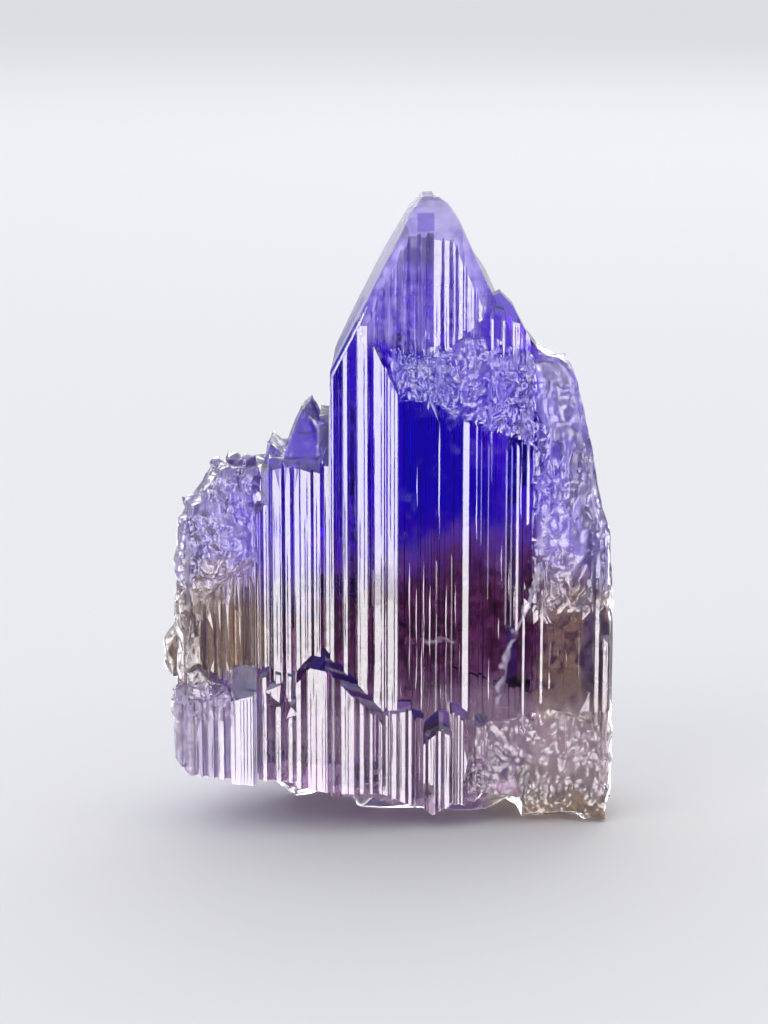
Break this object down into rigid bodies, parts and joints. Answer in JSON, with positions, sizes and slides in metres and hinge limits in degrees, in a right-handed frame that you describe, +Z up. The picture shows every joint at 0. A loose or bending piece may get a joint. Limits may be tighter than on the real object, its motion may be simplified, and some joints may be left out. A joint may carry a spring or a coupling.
{
  "type": "rough tanzanite crystal",
  "caption": "Rough, see-through blue-violet tanzanite crystal with a wedge-topped spire, fluted faces and lumpy etched flanks, standing on its broken foot.",
  "frame": {"origin": "on the surface that the crystal stands on, under the middle of its outline", "axes": "+Z up along the flutes and striations to the tip of the spire, +X to the right as the front is seen, +Y from the front face to the back"},
  "size_m": [0.0278, 0.0124, 0.0383],
  "materials": {
    "tanzanite": "glossy striated faces, frosted where etched"
  },
  "bodies": {
    "root": {"tanzanite_crystal": "tanzanite"}
  },
  "joints": []
}
